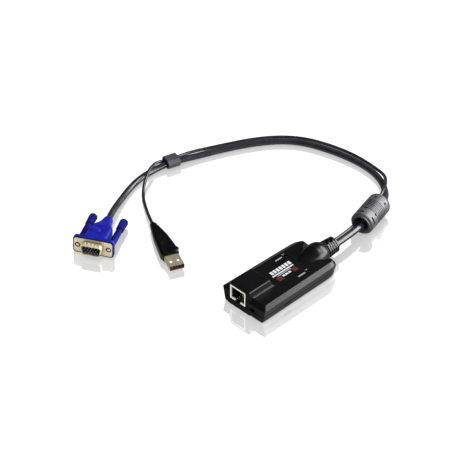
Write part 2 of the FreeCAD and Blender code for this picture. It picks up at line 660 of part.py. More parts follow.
def ferrite_core():
    x0 = CORE_MARGIN
    x1 = BEAD_LENGTH - CORE_MARGIN
    solid = revolve_x([(x0, CORE_BORE_R), (x0, CORE_R), (x1, CORE_R), (x1, CORE_BORE_R)])
    return placed(solid, placement(BEAD_START, BEAD_YAW))


def cable_clip():
    x0 = -CLIP_LENGTH / 2
    x1 = CLIP_LENGTH / 2
    outer = rounded_bar(CLIP_WIDTH, CLIP_HEIGHT, CLIP_HEIGHT / 2 - 0.3, x0, x1)
    inner = rounded_bar(CLIP_WIDTH - 2 * CLIP_WALL, CLIP_HEIGHT - 2 * CLIP_WALL,
                        CLIP_HEIGHT / 2 - CLIP_WALL - 0.05, x0 - 1, x1 + 1)
    return placed(outer.cut(inner), placement(CLIP_CENTRE, CLIP_YAW))


# ---------------------------------------------------------------- leads
def lead(name, route, diameter):
    """Round lead along straight runs joined by tangent arcs as large as the runs allow."""
    points = [V(*p) for p in route]
    edges = []
    start = points[0]
    length = 0.0
    radii = []
    for before, here, after in zip(points, points[1:], points[2:]):
        back = (before - here)
        ahead = (after - here)
        reach = ARC_SHARE * min(back.Length, ahead.Length)
        back.normalize()
        ahead.normalize()
        turn = math.pi - back.getAngle(ahead)
        radius = reach / math.tan(turn / 2)
        radii.append(radius)
        bisector = back + ahead
        bisector.normalize()
        middle = here + bisector * (radius / math.cos(turn / 2) - radius)
        enter = here + back * reach
        leave = here + ahead * reach
        edges.append(Part.LineSegment(start, enter).toShape())
        edges.append(Part.Arc(enter, middle, leave).toShape())
        length += (enter - start).Length + radius * turn
        start = leave
    edges.append(Part.LineSegment(start, points[-1]).toShape())
    length += (points[-1] - start).Length
    path = Part.Wire(edges)
    circle = Part.Wire(Part.Circle(points[0], points[1] - points[0], diameter / 2).toShape())
    solid = path.makePipeShell([circle], True, False)
    expected = math.pi * diameter ** 2 / 4 * length
    print("%s length %.1f volume %.1f expected %.1f" % (name, length, solid.Volume, expected))
    print("  radii " + " ".join("%.0f" % r for r in radii))
    return solid


def entry_bore(route, diameter):
    """Room in a plug for the straight end of its lead."""
    inner, outer = V(*route[-1]), V(*route[-2])
    direction = outer - inner
    direction.normalize()
    return rod(diameter / 2 + BORE_CLEARANCE, inner - direction * SEAT_GAP, outer)


# ---------------------------------------------------------------- VGA plug
def d_wire(width, height, radius, x):
    """D outline, wide side up, with slanting sides and round corners."""
    slant = height / 2 * math.tan(math.radians(D_SLANT_DEG))
    a, b = width / 2, height / 2
    corners = [V(x, -a + 2 * slant, -b), V(x, a - 2 * slant, -b), V(x, a, b), V(x, -a, b)]
    edges = []
    trims = []
    for i, corner in enumerate(corners):
        back = corners[i - 1] - corner
        ahead = corners[(i + 1) % 4] - corner
        angle = back.getAngle(ahead)
        back.normalize()
        ahead.normalize()
        reach = radius / math.tan(angle / 2)
        bisector = back + ahead
        bisector.normalize()
        middle = corner + bisector * (radius / math.sin(angle / 2) - radius)
        trims.append((corner + back * reach, middle, corner + ahead * reach))
    for i, (enter, middle, leave) in enumerate(trims):
        edges.append(Part.Arc(enter, middle, leave).toShape())
        edges.append(Part.LineSegment(leave, trims[(i + 1) % 4][0]).toShape())
    return Part.Wire(edges)


def d_bar(inset, x0, x1):
    face = Part.Face(d_wire(D_WIDTH - 2 * inset, D_HEIGHT - 2 * inset, D_CORNER_R - inset, x0))
    return face.extrude(V(x1 - x0, 0, 0))


def screw_positions():
    return [V(0, side * SCREW_PITCH / 2, 0) for side in (1, -1)]


def pin_positions():
    places = []
    for row in range(PIN_ROWS):
        z = (1 - row) * PIN_ROW_PITCH
        shift = PIN_PITCH / 4 if row == 1 else -PIN_PITCH / 4
        for column in range(PIN_COLUMNS):
            places.append(((column - (PIN_COLUMNS - 1) / 2) * PIN_PITCH + shift, z))
    return places


def vga_shell():
    plate = rounded_bar(FLANGE_WIDTH, FLANGE_HEIGHT, FLANGE_R, 0, FLANGE_THICKNESS)
    skirt = d_bar(0, -D_REACH, FLANGE_THICKNESS)
    solid = fuse_all([plate, skirt]).cut(d_bar(D_SHEET, -D_REACH - 1, FLANGE_THICKNESS + 1))
    for at in screw_positions():
        solid = solid.cut(rod(SCREW_HOLE_R, at + V(-1, 0, 0), at + V(FLANGE_THICKNESS + 1, 0, 0)))
    return solid


def vga_insulator():
    solid = d_bar(D_SHEET + INSERT_GAP, -INSERT_FACE, INSERT_DEPTH)
    for y, z in pin_positions():
        solid = solid.cut(rod(PIN_R + PIN_HOLE_GAP, V(-INSERT_FACE - 1, y, z),
                              V(PIN_TAIL + PIN_HOLE_GAP, y, z)))
    return solid


def vga_pins():
    pins = []
    for y, z in pin_positions():
        shaft = rod(PIN_R, V(-PIN_REACH + PIN_R, y, z), V(PIN_TAIL, y, z))
        tip = Part.makeCone(PIN_R / 2, PIN_R, PIN_R, V(-PIN_REACH, y, z), V(1, 0, 0))
        pins.append(fuse_all([shaft, tip]))
    return Part.makeCompound(pins)


def vga_hood():
    bezel = rounded_bar(BEZEL_WIDTH, BEZEL_HEIGHT, BEZEL_R, FLANGE_PROUD, BEZEL_REAR_X)
    body = loft([rounded_rect(w, h, min(HOOD_EDGE_R + (x - BEZEL_REAR_X) * 0.04, h / 2 - 0.3), x)
                 for x, w, h in HOOD_SECTIONS])
    solid = fuse_all([bezel, body])
    solid = solid.cut(rounded_bar(FLANGE_WIDTH + 0.1, FLANGE_HEIGHT + 0.1, FLANGE_R,
                                  FLANGE_PROUD - 1, FLANGE_THICKNESS + SEAT_GAP))
    solid = solid.cut(d_bar(D_SHEET, 0, INSERT_DEPTH + SEAT_GAP))
    for at in screw_positions():
        solid = solid.cut(rod(SCREW_R + SCREW_RUNNING_GAP, at, at + V(BEZEL_REAR_X + 1, 0, 0)))
    return solid


def jackscrew(at):
    shaft = rod(SCREW_R, at + V(SCREW_TIP_X + 0.5, 0, 0), at + V(SCREW_TAIL_X, 0, 0))
    tip = Part.makeCone(SCREW_R - 0.45, SCREW_R, 0.5, at + V(SCREW_TIP_X, 0, 0), V(1, 0, 0))
    return fuse_all([shaft, tip])


def screw_head(at):
    neck = rod(NECK_R, at + V(BEZEL_REAR_X + NECK_GAP, 0, 0), at + V(HEAD_START_X + 1, 0, 0))
    head = Part.makeCone(HEAD_START_R, HEAD_R, HEAD_END_X - HEAD_START_X,
                         at + V(HEAD_START_X, 0, 0), V(1, 0, 0))
    head = head.makeChamfer(HEAD_CHAMFER, [e for e in head.Edges if e.Closed])
    solid = fuse_all([neck, head])
    for i in range(HEAD_FLUTES):
        angle = 2 * math.pi * i / HEAD_FLUTES
        y, z = HEAD_R * math.cos(angle), HEAD_R * math.sin(angle)
        solid = solid.cut(rod(FLUTE_R, at + V(HEAD_START_X - 1, y, z), at + V(HEAD_END_X + 1, y, z)))
    bore_start = at + V(BEZEL_REAR_X, 0, 0)
    return solid.cut(rod(SCREW_R + BOND_GAP, bore_start, at + V(SCREW_TAIL_X + SEAT_GAP, 0, 0)))


# ---------------------------------------------------------------- USB plug
def usb_shell():
    end = USB_SHELL_VISIBLE + USB_SHELL_HIDDEN
    s = USB_SHEET
    solid = rounded_bar(USB_SHELL_WIDTH, USB_SHELL_HEIGHT, USB_SHELL_R, 0, end)
    room = rounded_bar(USB_SHELL_WIDTH - 2 * s, USB_SHELL_HEIGHT - 2 * s, USB_SHELL_R - s, -1, end + 1)
    solid = solid.cut(room)
    w = USB_WINDOW / 2
    for side in (-1, 1):
        y = side * USB_WINDOW_Y
        solid = solid.cut(box(USB_WINDOW_X - w, USB_WINDOW_X + w, y - w, y + w, 0, 5))
    return solid


def usb_tongue():
    bottom = -USB_SHELL_HEIGHT / 2 + USB_SHEET + SEAT_GAP
    half = TONGUE_WIDTH / 2
    return box(TONGUE_MOUTH_GAP, USB_SHELL_VISIBLE + USB_SHELL_HIDDEN, -half, half,
               bottom, bottom + TONGUE_HEIGHT)


def usb_contacts():
    z = -USB_SHELL_HEIGHT / 2 + USB_SHEET + SEAT_GAP + TONGUE_HEIGHT
    start = TONGUE_MOUTH_GAP + 0.8
    half = USB_CONTACT_WIDTH / 2
    return Part.makeCompound([box(start, start + USB_CONTACT_LENGTH, y - half, y + half,
                                  z, z + USB_CONTACT_THICKNESS) for y in USB_CONTACTS_Y])


def usb_overmould():
    start = USB_SHELL_VISIBLE
    solid = loft([rounded_rect(w, h, min(USB_GRIP_R, h / 2 - 0.3), x) for x, w, h in USB_GRIP])
    dish = Part.makeSphere(USB_DISH_R, V(USB_DISH_X, 0, 4.2 + USB_DISH_R - USB_DISH_DEPTH))
    solid = solid.cut(dish)
    room = rounded_bar(USB_SHELL_WIDTH + 0.06, USB_SHELL_HEIGHT + 0.06, USB_SHELL_R,
                       start - 1, start + USB_SHELL_HIDDEN + 0.05)
    return solid.cut(room)


# ---------------------------------------------------------------- build
def main():
    os.makedirs("parts", exist_ok=True)
    top_shell, bottom_shell = shells()
    save("top_shell", top_shell)
    save("bottom_shell", bottom_shell)
    save("circuit_board", circuit_board())
    save("jack_shield", jack_shield())
    save("jack_insert", jack_insert())
    save("jack_contacts", jack_contacts())
    save("main_chip", main_chip())
    save("video_chip", video_chip())
    save("crystal", crystal())
    save("board_header", board_header())
    save("power_led", lamp(-1))
    save("link_led", lamp(1))
    save("cable_gland", cable_gland())
    save("vga_cable", lead("vga_cable", VGA_ROUTE, VGA_CABLE_D))
    save("usb_cable", lead("usb_cable", USB_ROUTE, USB_CABLE_D))
    save("ferrite_sleeve", ferrite_sleeve())
    save("ferrite_core", ferrite_core())
    save("cable_clip", cable_clip())

    vga = placement(VGA_FLANGE_POINT, VGA_YAW, VGA_PITCH)
    save("vga_hood", placed(vga_hood(), vga).cut(entry_bore(VGA_ROUTE, VGA_CABLE_D)))
    save("vga_shell", placed(vga_shell(), vga))
    save("vga_insulator", placed(vga_insulator(), vga))
    save("vga_pins", placed(vga_pins(), vga))
    for side, at in zip(("left", "right"), screw_positions()):
        save(side + "_jackscrew", placed(jackscrew(at), vga))
        save(side + "_screw_head", placed(screw_head(at), vga))

    usb = placement(USB_MOUTH, USB_YAW)
    save("usb_overmould", placed(usb_overmould(), usb).cut(entry_bore(USB_ROUTE, USB_CABLE_D)))
    save("usb_shell", placed(usb_shell(), usb))
    save("usb_tongue", placed(usb_tongue(), usb))
    save("usb_contacts", placed(usb_contacts(), usb))


main()
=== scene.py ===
# Looks of the adapter lead: materials, the two leads, fine detail, floor, light and camera.
#
# Metres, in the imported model's frame: +X from the socket towards the gland, +Y left, +Z up.
import bpy
import bmesh
import json
import math
from mathutils import Matrix, Vector


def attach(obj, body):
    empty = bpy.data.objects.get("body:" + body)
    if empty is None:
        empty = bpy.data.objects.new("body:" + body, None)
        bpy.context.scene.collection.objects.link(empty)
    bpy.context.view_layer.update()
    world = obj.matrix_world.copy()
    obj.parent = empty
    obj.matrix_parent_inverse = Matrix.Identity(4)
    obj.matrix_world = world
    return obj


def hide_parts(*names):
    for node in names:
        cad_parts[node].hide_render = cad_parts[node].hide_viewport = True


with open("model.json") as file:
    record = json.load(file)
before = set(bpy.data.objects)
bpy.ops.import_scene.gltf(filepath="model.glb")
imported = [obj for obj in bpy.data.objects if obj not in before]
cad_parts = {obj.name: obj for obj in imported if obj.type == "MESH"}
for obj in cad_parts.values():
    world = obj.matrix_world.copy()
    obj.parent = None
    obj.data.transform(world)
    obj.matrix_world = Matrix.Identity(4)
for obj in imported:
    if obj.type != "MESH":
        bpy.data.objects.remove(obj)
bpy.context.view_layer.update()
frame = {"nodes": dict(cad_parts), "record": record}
nodes = frame["nodes"]
MM = 0.001
BODY = "adapter"

# ---------------------------------------------------------------- named values
CAMERA_TARGET = (0.01164, 0.071106, 0.0)
CAMERA_DISTANCE = 2.6
CAMERA_ELEVATION = 38.93
CAMERA_AZIMUTH = 44.56
CAMERA_LENS = 258.2
CAMERA_CLIP = 10.0
SENSOR = 36.0

VGA_CABLE_D = 0.0052
USB_CABLE_D = 0.0026
LEAD_STEPS = 16             # points made from each span of a lead's route
LEAD_ROUND = 10             # how finely its round section is divided

WHITE = (1.0, 1.0, 1.0, 1.0)
LIGHT_AIM = (0.03, 0.06, 0.0)
# soft boxes: direction towards them, distance, width and height (m), and power (W)
RIGHT_BOX = ((0.70, -0.30, 0.65), 0.9, (0.6, 0.45), 10.0)
LOW_BOX = ((0.64, -0.72, 0.27), 0.9, (1.0, 0.42), 17.0)
MIRROR_CARD = ((0.546, 0.554, 0.628), 3.0, (3.0, 3.0), 50.0)
SURROUND_WHITE = 1.0
SURROUND_GLOSSY = 0.02
FLOOR_HALF = 3.0
FLOOR_CELLS = 8
FLOOR_GAP = 0.00002         # the table is this far under the adapter, so faces don't coincide
FLOOR_GLOW = 1.05
FLOOR_GLOW_SHARE = 0.6
FLOOR_MIRROR_SHARE = 0.3
FLOOR_ROUGHNESS = 0.04
# painted reflection: bands of brightness that glossy surfaces see in the table
FLOOR_BANDS_FROM = -80.0
FLOOR_BANDS_TO = 120.0
FLOOR_BANDS = [             # distance across the table in mm, brightness in reflections
    (-70, 0.12), (-45, 0.3), (-27, 0.55), (-8, 0.2), (30, 0.15), (55, 0.6)]

MOTTLE_RANGE = (0.35, 0.65)     # noise at which the darker and the lighter shade are pure
PATCH_RANGE = (0.3, 0.7)        # noise at which the roughness is lowest and highest
# painted shade in crevices, from ambient occlusion
CREVICE_RANGE = (0.2, 0.9)      # openness at which a crevice is darkest and not darkened
CREVICE_SAMPLES = 8

# places of the bead and the plugs, and of the painted shade in the bead's slots, holes and
# grooves, in mm and degrees
BEAD_START = (81.1, 2.1, 9.5)
BEAD_YAW = 15.3
BEAD_SLOT_X = (5.0, 30.3)
BEAD_SLOT_TURNS = (25.0, 109.0)     # up from the bead's right side, degrees
BEAD_SLOT_HALF = (0.85, 19.0)       # half width along it in mm, half turn in degrees
BEAD_HOLE_X = (10.3, 25.5)
BEAD_HOLE_TURNS = (39.0, 95.0)
BEAD_HOLE_HALF = (0.95, 6.0)
BEAD_GROOVES = 7
BEAD_GROOVE_START = 10.9
BEAD_GROOVE_PITCH = 1.75
BEAD_GROOVE_HALF = (0.35, 360.0)
BEAD_GROOVE_DEPTH = 0.55            # how dark a groove is; slots and holes are 1

VGA_FACE = (-83.26, 128.9, 7.5)
VGA_YAW = 29.2
VGA_PITCH = 4.0
USB_MOUTH = (-51.4, 68.9, 4.3)
USB_YAW = 66.0
# pale pads just under the USB shell's windows, a painted highlight
WINDOW_X = 5.6
WINDOW_Y = 2.9
PAD_Z = 1.8
PAD_SIZE = (1.9, 2.0, 0.28)
DIMPLES = 5
DIMPLE_X = -2.4
DIMPLE_Z = 4.1
DIMPLE_PITCH = 2.9
DIMPLE_SIZE = (1.0, 0.95, 0.6)
# low ovals moulded on the plugs: centre and half sizes in the plug's own frame, mm
USB_SWELLING = ((17.4, -2.6, 3.9), (3.9, 5.0, 1.3))
HOOD_OVAL = ((14.5, 3.2, 6.0), (3.6, 4.6, 1.0))
OVAL_SEGMENTS = (48, 24)

INK_Z = 14.12
INK_THICKNESS = 0.04
PRINT_ROWS = [              # name, ink, count, start, step, size, mm
    ("mark_row", "pale_ink", 7, (-13.7, 4.6), (3.1, 0.0), (2.3, 3.7)),
    ("mark_line", "pale_ink", 1, (-5.4, 1.0), (0.0, 0.0), (22.0, 1.3)),
    ("mark_line_low", "grey_ink", 1, (-5.8, -0.8), (0.0, 0.0), (14.0, 0.9)),
    ("mark_bar", "pale_ink", 3, (-8.6, -3.3), (3.0, 0.0), (2.5, 1.8)),
    ("red_block_front", "red_ink", 1, (-13.2, -3.9), (0.0, 0.0), (5.0, 5.0)),
    ("red_block_rear", "red_ink", 1, (2.6, -3.5), (0.0, 0.0), (4.8, 4.6)),
    ("lamp_bar_left", "grey_ink", 1, (2.2, 13.1), (0.0, 0.0), (7.0, 1.1)),
    ("lamp_bar_right", "grey_ink", 1, (1.7, -12.1), (0.0, 0.0), (7.3, 1.1)),
    ("lamp_tick_left", "grey_ink", 1, (8.5, 14.9), (0.0, 0.0), (2.2, 0.5)),
    ("lamp_tick_right", "grey_ink", 1, (8.3, -10.3), (0.0, 0.0), (2.2, 0.5))]

# painted shade along the seam and the foot line, and in the snap slot
SEAM_LINES = [(5.7, 0.45), (0.3, 0.45)]     # height and half width, mm
SNAP_SLOT = [(-21.75, 4.25), (4.9, 0.95)]   # middle and half width along and up, mm
# painted shade across the plug, where the screw head steps down to its neck and on the rolled edge
# round the face: distance back from its face and half width (mm), and depth
HEAD_STEP_SHADE = (27.1, 0.6, 1.0)     # between screw head and neck
HOOD_RIM_SHADE = (0.4, 1.0, 0.8)      # rolled edge round the face
# colours of painted shade, on the blue plug and elsewhere
PAINTED_SHADE_BLUE = "02031c"
PAINTED_SHADE_BLACK = "020202"

# routes of the two leads from inside the gland to the plugs, mm
VGA_ROUTE = [
    (33.0, -1.6, 9.8), (57.5, -1.6, 9.8), (83.2, 1.6, 9.1), (113.0, 9.7, 9.1),
    (125.9, 17.4, 4.4), (134.2, 27.0, 2.6), (139.1, 35.3, 2.6), (142.3, 46.0, 2.6),
    (143.3, 58.0, 2.6), (142.4, 70.9, 2.6), (140.1, 83.9, 2.6), (136.5, 96.9, 2.6),
    (131.8, 109.5, 2.6), (125.1, 120.6, 2.6), (115.9, 129.8, 2.6), (104.5, 138.0, 2.6),
    (91.2, 145.4, 2.6), (76.2, 152.4, 2.6), (60.1, 158.8, 2.6), (45.4, 164.2, 3.4),
    (31.2, 168.7, 3.6), (19.0, 170.7, 2.7), (4.7, 170.5, 2.6), (-10.8, 166.4, 2.6),
    (-25.8, 160.1, 3.3), (-39.7, 153.6, 4.8), (-52.8, 145.95, 5.4)]
USB_ROUTE = [
    (33.0, 2.6, 9.8), (57.0, 2.6, 9.8), (82.0, 5.9, 9.1), (111.8, 14.1, 9.1),
    (127.1, 19.9, 9.8), (139.0, 29.8, 7.5), (145.1, 38.8, 4.3), (148.6, 51.0, 1.6),
    (149.6, 64.0, 1.3), (148.7, 77.6, 1.3), (146.0, 91.2, 1.3), (142.1, 104.3, 1.3),
    (136.5, 117.0, 1.3), (128.0, 128.5, 1.3), (117.4, 138.2, 1.3), (104.5, 146.8, 1.3),
    (89.3, 154.4, 1.3), (73.2, 161.8, 1.4), (56.6, 168.0, 2.4), (43.5, 169.6, 3.5),
    (34.2, 172.3, 4.1), (25.5, 173.0, 6.3), (17.0, 170.3, 7.5), (9.0, 166.2, 7.1),
    (1.5, 161.4, 5.0), (-5.5, 155.5, 2.3), (-11.5, 148.2, 1.4), (-16.9, 140.0, 2.3),
    (-25.1, 127.3, 4.2), (-31.1, 114.6, 4.3)]


# ---------------------------------------------------------------- camera
def add_camera():
    """Long lens that looks down at the adapter from its right front."""
    elevation = math.radians(CAMERA_ELEVATION)
    azimuth = math.radians(CAMERA_AZIMUTH)
    look = Vector((math.cos(elevation) * math.sin(azimuth),
                   math.cos(elevation) * math.cos(azimuth), -math.sin(elevation)))
    data = bpy.data.cameras.new("camera")
    data.lens = CAMERA_LENS
    data.sensor_width = SENSOR
    data.clip_end = CAMERA_CLIP
    camera = bpy.data.objects.new("camera", data)
    camera.location = Vector(CAMERA_TARGET) - look * CAMERA_DISTANCE
    camera.rotation_euler = look.to_track_quat("-Z", "Y").to_euler()
    bpy.context.scene.collection.objects.link(camera)
    bpy.context.scene.camera = camera


# ---------------------------------------------------------------- material helpers
def linear(hex_colour):
    """Linear RGBA from a hex colour such as 3a3a40."""
    channels = [int(hex_colour[i:i + 2], 16) / 255 for i in (0, 2, 4)]
    return [c / 12.92 if c <= 0.04045 else ((c + 0.055) / 1.055) ** 2.4 for c in channels] + [1.0]


def add_node(tree, kind, inputs=None, **settings):
    """Node of a kind, with its settings, and inputs that are values or (node, output) links."""
    node = tree.nodes.new(kind)
    for name, value in settings.items():
        setattr(node, name, value)
    for name, value in (inputs or {}).items():
        if isinstance(value, tuple) and hasattr(value[0], "outputs"):
            tree.links.new(value[0].outputs[value[1]], node.inputs[name])
        else:
            node.inputs[name].default_value = value
    return node


def new_material(name, roughness, **sockets):
    """Material with its shader's own sockets set; a space in a socket's name is written _."""
    material = bpy.data.materials.new(name)
    material.use_nodes = True
    shader = material.node_tree.nodes["Principled BSDF"]
    shader.inputs["Roughness"].default_value = roughness
    for socket, value in sockets.items():
        shader.inputs[socket.replace("_", " ")].default_value = value
    return material, material.node_tree, shader


def mottled(tree, shader, colour, darker, scale_mm):
    """Two close colours in soft patches of about scale_mm."""
    place = add_node(tree, "ShaderNodeTexCoord")
    noise = add_node(tree, "ShaderNodeTexNoise", {
        "Vector": (place, "Object"), "Scale": 1 / (scale_mm * MM), "Detail": 3.0})
    ramp = add_node(tree, "ShaderNodeValToRGB", {"Fac": (noise, "Fac")})
    for stop, at, shade in zip(ramp.color_ramp.elements, MOTTLE_RANGE, (darker, colour)):
        stop.position = at
        stop.color = linear(shade)
    tree.links.new(ramp.outputs["Color"], shader.inputs["Base Color"])
    return place


def grain(tree, shader, place, size_mm, depth_mm, detail=2.0, edge_mm=0.0):
    """Bump with grains of about size_mm, over edges rounded by edge_mm."""
    noise = add_node(tree, "ShaderNodeTexNoise", {
        "Vector": (place, "Object"), "Scale": 1 / (size_mm * MM), "Detail": detail})
    bump = add_node(tree, "ShaderNodeBump", {
        "Height": (noise, "Fac"), "Distance": depth_mm * MM, "Strength": 1.0})
    if edge_mm:
        edge = add_node(tree, "ShaderNodeBevel", {"Radius": edge_mm * MM})
        tree.links.new(edge.outputs["Normal"], bump.inputs["Normal"])
    tree.links.new(bump.outputs["Normal"], shader.inputs["Normal"])


def painted_crevice_shade(tree, shader, reach_mm, depth):
    """Painted shade: darker base colour in corners and gaps narrower than reach_mm."""
    source = shader.inputs["Base Color"].links[0].from_socket
    shade = add_node(tree, "ShaderNodeAmbientOcclusion", {"Distance": reach_mm * MM})
    shade.samples = CREVICE_SAMPLES
    closed, clear = CREVICE_RANGE
    level = add_node(tree, "ShaderNodeMapRange", {
        "Value": (shade, "AO"), "From Min": closed, "From Max": clear,
        "To Min": 1.0 - depth, "To Max": 1.0})
    mix = add_node(tree, "ShaderNodeMix", {"Factor": 1.0}, data_type="RGBA",
                   blend_type="MULTIPLY")
    tree.links.new(source, mix.inputs["A"])
    tree.links.new(level.outputs["Result"], mix.inputs["B"])
    tree.links.new(mix.outputs["Result"], shader.inputs["Base Color"])


def rough_patches(tree, shader, place, scale_mm, smooth, rough):
    """Roughness that drifts between two values, as handling and moulding leave it."""
    noise = add_node(tree, "ShaderNodeTexNoise", {
        "Vector": (place, "Object"), "Scale": 1 / (scale_mm * MM), "Detail": 4.0})
    low, high = PATCH_RANGE
    spread = add_node(tree, "ShaderNodeMapRange", {
        "Value": (noise, "Fac"), "From Min": low, "From Max": high,
        "To Min": smooth, "To Max": rough})
    tree.links.new(spread.outputs["Result"], shader.inputs["Roughness"])


def paint_shade(tree, shader, mask, depth, black=PAINTED_SHADE_BLACK):
    """Painted shade: near black and dull where a mask is 1, by a share of depth."""
    colour = shader.inputs["Base Color"].links[0].from_socket
    rough = shader.inputs["Roughness"].links[0].from_socket
    share = add_node(tree, "ShaderNodeMath", {0: (mask, "Value"), 1: depth}, operation="MULTIPLY")
    dark = add_node(tree, "ShaderNodeMix", {"Factor": (share, "Value"), "B": linear(black)},
                    data_type="RGBA")
    tree.links.new(colour, dark.inputs["A"])
    dull = add_node(tree, "ShaderNodeMath", {1: (share, "Value")}, operation="MAXIMUM")
    tree.links.new(rough, dull.inputs[0])
    tree.links.new(dark.outputs["Result"], shader.inputs["Base Color"])
    tree.links.new(dull.outputs["Value"], shader.inputs["Roughness"])


def own_axes(tree, place, origin, yaw, pitch=0.0):
    """Distances along the axes of a turned piece, from its own origin."""
    local = add_node(tree, "ShaderNodeMapping", {
        "Vector": (place, "Object"), "Location": [v * MM for v in origin],
        "Rotation": (0, math.radians(pitch), math.radians(yaw))}, vector_type="TEXTURE")
    return add_node(tree, "ShaderNodeSeparateXYZ", {"Vector": (local, "Vector")})


def zone(tree, ranges):
    """Mask of 1 within half a width of a middle, in metres or radians, for every output given."""
    mask = None
    for node, output, middle, half in ranges:
        inside = add_node(tree, "ShaderNodeMath", {0: (node, output), 1: middle, 2: half},
                          operation="COMPARE")
        if mask:
            inside = add_node(tree, "ShaderNodeMath", {0: (mask, "Value"), 1: (inside, "Value")},
                              operation="MULTIPLY")
        mask = inside
    return mask


def painted_recess_shade(tree, shader, place):
    """Painted shade, black in the bead's grooves, slots and holes, a little wider than they are,
    to show.
    """
    parts = own_axes(tree, place, BEAD_START, BEAD_YAW)
    right = add_node(tree, "ShaderNodeMath", {0: (parts, "Y"), 1: -1.0}, operation="MULTIPLY")
    angle = add_node(tree, "ShaderNodeMath", {0: (parts, "Z"), 1: (right, "Value")},
                     operation="ARCTAN2")
    grooves = [BEAD_GROOVE_START + BEAD_GROOVE_PITCH * i for i in range(BEAD_GROOVES)]
    spots = [(x, turn, BEAD_SLOT_HALF, 1.0) for x in BEAD_SLOT_X for turn in BEAD_SLOT_TURNS]
    spots += [(x, turn, BEAD_HOLE_HALF, 1.0) for x in BEAD_HOLE_X for turn in BEAD_HOLE_TURNS]
    spots += [(x, 0.0, BEAD_GROOVE_HALF, BEAD_GROOVE_DEPTH) for x in grooves]
    for x, turn, (along, round_deg), depth in spots:
        mask = zone(tree, [(parts, "X", x * MM, along * MM),
                           (angle, "Value", math.radians(turn), math.radians(round_deg))])
        paint_shade(tree, shader, mask, depth)


def painted_seam_shade(tree, shader, place):
    """Painted shade: dark, dull seam, foot line and snap slots of the housing, wide enough to see.
    """
    parts = add_node(tree, "ShaderNodeSeparateXYZ", {"Vector": (place, "Object")})
    for height, half in SEAM_LINES:
        paint_shade(tree, shader, zone(tree, [(parts, "Z", height * MM, half * MM)]), 1.0)
    (x, x_half), (z, z_half) = SNAP_SLOT
    paint_shade(tree, shader, zone(tree, [(parts, "X", x * MM, x_half * MM),
                                     (parts, "Z", z * MM, z_half * MM)]), 1.0)


# ---------------------------------------------------------------- materials
def black_abs():
    """Moulded ABS: near black with a fine spark-eroded grain, so its highlights are broad."""
    material, tree, shader = new_material("black_abs", 0.3, Specular_IOR_Level=0.3)
    place = mottled(tree, shader, "0c0c0e", "09090a", scale_mm=6.0)
    grain(tree, shader, place, size_mm=0.35, depth_mm=0.003, edge_mm=0.5)
    rough_patches(tree, shader, place, scale_mm=14.0, smooth=0.29, rough=0.32)
    # painted shade along the seam and the foot line, and in the snap slot
    painted_seam_shade(tree, shader, place)
    return material


def black_rubber(name, roughness, gloss):
    """Soft black overmould: darker than the housing, satin, with polished spots in the mould."""
    material, tree, shader = new_material(name, roughness, Specular_IOR_Level=gloss)
    place = mottled(tree, shader, "0a0a0b", "070708", scale_mm=4.0)
    grain(tree, shader, place, size_mm=0.5, depth_mm=0.02 * roughness)
    rough_patches(tree, shader, place, scale_mm=5.0, smooth=roughness * 0.8,
                  rough=roughness * 1.15)
    return material


def cable_jacket():
    """Glossy charcoal PVC: narrow bright highlights along it, with slight waviness."""
    material, tree, shader = new_material("cable_jacket", 0.3)
    place = mottled(tree, shader, "26262b", "1c1c20", scale_mm=7.0)
    grain(tree, shader, place, size_mm=2.5, depth_mm=0.04, detail=1.0)
    rough_patches(tree, shader, place, scale_mm=8.0, smooth=0.18, rough=0.28)
    return material


def grey_nylon(name, colour, darker, bead):
    """Mid-grey moulded nylon of the bead and the clip, with a dull sheen and painted shade in
    corners and gaps; on the bead, painted shade in its grooves, slots and holes too.
    """
    material, tree, shader = new_material(name, 0.4)
    place = mottled(tree, shader, colour, darker, scale_mm=5.0)
    grain(tree, shader, place, size_mm=0.6, depth_mm=0.012)
    painted_crevice_shade(tree, shader, reach_mm=2.0, depth=0.9)
    rough_patches(tree, shader, place, scale_mm=6.0, smooth=0.34, rough=0.46)
    if bead:
        painted_recess_shade(tree, shader, place)
    return material


def blue_pvc(name, colour, darker, gloss, edge_mm, painted_shade_band):
    """Deep blue moulded PVC of the 15-way plug, slightly uneven in tone, with painted shade in
    gaps and in a band across the plug.
    """
    material, tree, shader = new_material(name, 0.4, Specular_IOR_Level=gloss)
    place = mottled(tree, shader, colour, darker, scale_mm=5.0)
    grain(tree, shader, place, size_mm=0.5, depth_mm=0.006, edge_mm=edge_mm)
    painted_crevice_shade(tree, shader, reach_mm=2.5, depth=0.85)
    rough_patches(tree, shader, place, scale_mm=5.0, smooth=0.36, rough=0.5)
    back, half, depth = painted_shade_band
    parts = own_axes(tree, place, VGA_FACE, VGA_YAW, VGA_PITCH)
    paint_shade(tree, shader, zone(tree, [(parts, "X", back * MM, half * MM)]), depth, PAINTED_SHADE_BLUE)
    return material


def nickel(name, colour, darker, reach_mm, depth):
    """Nickel plate with a warm cast; part of its light is scattered, so it is never black. Painted
    shade darkens it in corners and gaps.
    """
    material, tree, shader = new_material(name, 0.3, Metallic=0.6)
    place = mottled(tree, shader, colour, darker, scale_mm=5.0)
    grain(tree, shader, place, size_mm=0.4, depth_mm=0.004, edge_mm=0.25)
    painted_crevice_shade(tree, shader, reach_mm, depth)
    rough_patches(tree, shader, place, scale_mm=3.0, smooth=0.22, rough=0.36)
    return material


def tinned_steel(name):
    """Tin plate of the socket's shield and the crystal's can: pale and a little dull."""
    material, tree, shader = new_material(name, 0.4)
    place = mottled(tree, shader, "fffff4", "fffdea", scale_mm=4.0)
    grain(tree, shader, place, size_mm=0.5, depth_mm=0.006)
    return material


def dense_plastic(name, colour, darker, roughness):
    """Hard, even material of inserts, chips, board and ferrite, with a fine dull grain."""
    material, tree, shader = new_material(name, roughness)
    place = mottled(tree, shader, colour, darker, scale_mm=3.0)
    grain(tree, shader, place, size_mm=0.3, depth_mm=0.01)
    return material


